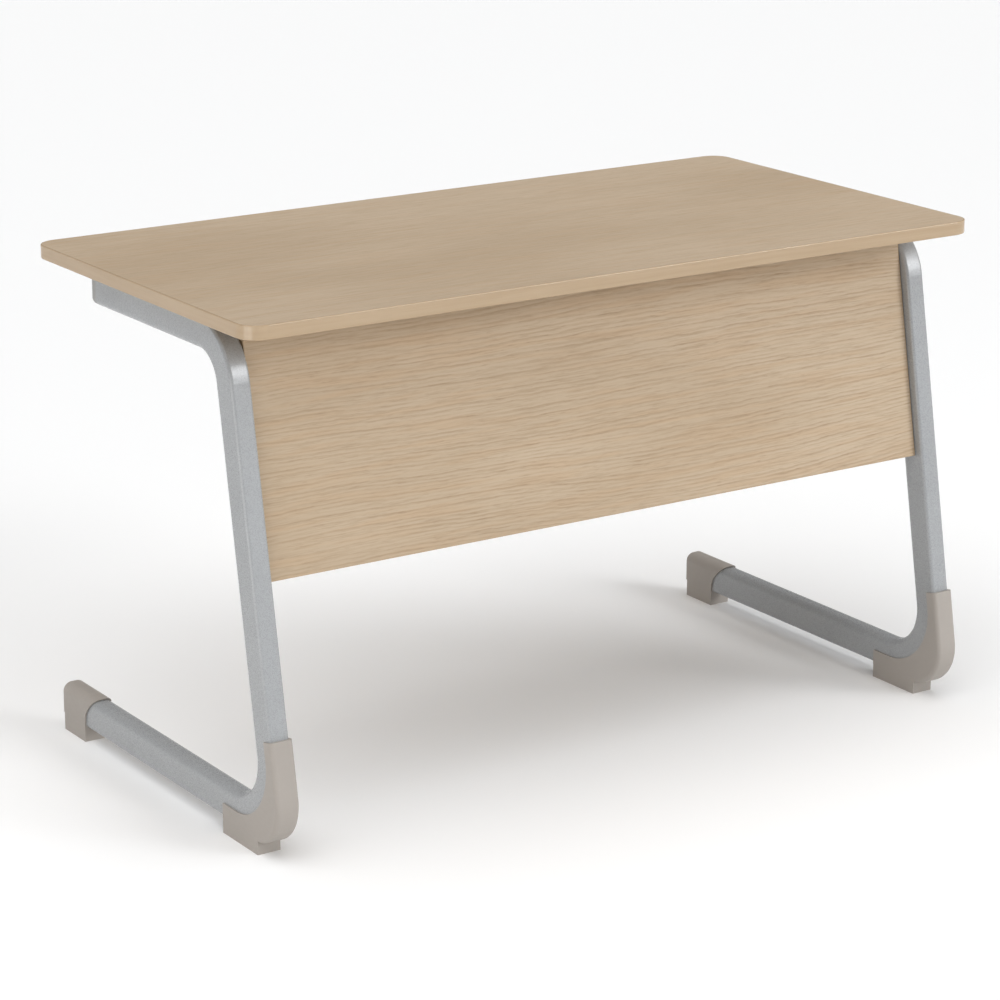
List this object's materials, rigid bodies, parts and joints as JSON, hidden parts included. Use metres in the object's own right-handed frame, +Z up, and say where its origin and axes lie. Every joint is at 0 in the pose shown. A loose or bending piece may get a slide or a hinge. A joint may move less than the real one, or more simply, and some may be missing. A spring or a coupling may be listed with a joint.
{
  "type": "teacher desk",
  "caption": "Free-standing desk: a rounded rectangular worktop and slanting modesty panel carried on two C-shaped tube frames with plastic feet.",
  "frame": {"origin": "on the floor, in the middle of the overall width and depth", "axes": "+X along the width, to the right seen from the public side; -Y towards the public side with the modesty panel; +Z up"},
  "size_m": [1.2, 0.6255, 0.722],
  "materials": {
    "worktop_laminate": "matt light oak laminate, fine grain along the width",
    "worktop_edge": "oak-effect edge band",
    "panel_laminate": "matt light oak laminate, grain along the width",
    "panel_edge": "oak-effect edge band",
    "frame_paint": "silver-grey powder coat, fine texture",
    "foot_plastic": "warm grey moulded plastic",
    "plug_plastic": "grey moulded plastic",
    "rail_paint": "silver-grey powder coat",
    "bracket_zinc": "zinc-plated pressed steel",
    "fastener_zinc": "zinc-plated steel"
  },
  "bodies": {
    "root": {"cleat_screws": "fastener_zinc", "front_cross_rail": "rail_paint", "front_rail_end_plates": "rail_paint", "front_rail_screws": "fastener_zinc", "left_arm_end_plug": "plug_plastic", "left_frame_tube": "frame_paint", "left_glide_screw": "fastener_zinc", "left_heel_cover": "foot_plastic", "left_heel_screw": "fastener_zinc", "left_panel_tabs": "frame_paint", "left_rail_bolts": "fastener_zinc", "left_rear_glide": "foot_plastic", "left_rivet_nuts": "fastener_zinc", "left_tab_screws": "fastener_zinc", "left_worktop_screws": "fastener_zinc", "modesty_panel_board": "panel_laminate", "modesty_panel_bottom_band": "panel_edge", "modesty_panel_left_band": "panel_edge", "modesty_panel_right_band": "panel_edge", "modesty_panel_top_band": "panel_edge", "panel_cleats": "bracket_zinc", "rear_cross_rail": "rail_paint", "rear_rail_end_plates": "rail_paint", "rear_rail_screws": "fastener_zinc", "right_arm_end_plug": "plug_plastic", "right_frame_tube": "frame_paint", "right_glide_screw": "fastener_zinc", "right_heel_cover": "foot_plastic", "right_heel_screw": "fastener_zinc", "right_panel_tabs": "frame_paint", "right_rail_bolts": "fastener_zinc", "right_rear_glide": "foot_plastic", "right_rivet_nuts": "fastener_zinc", "right_tab_screws": "fastener_zinc", "right_worktop_screws": "fastener_zinc", "worktop_board": "worktop_laminate", "worktop_edge_band": "worktop_edge"}
  },
  "joints": []
}
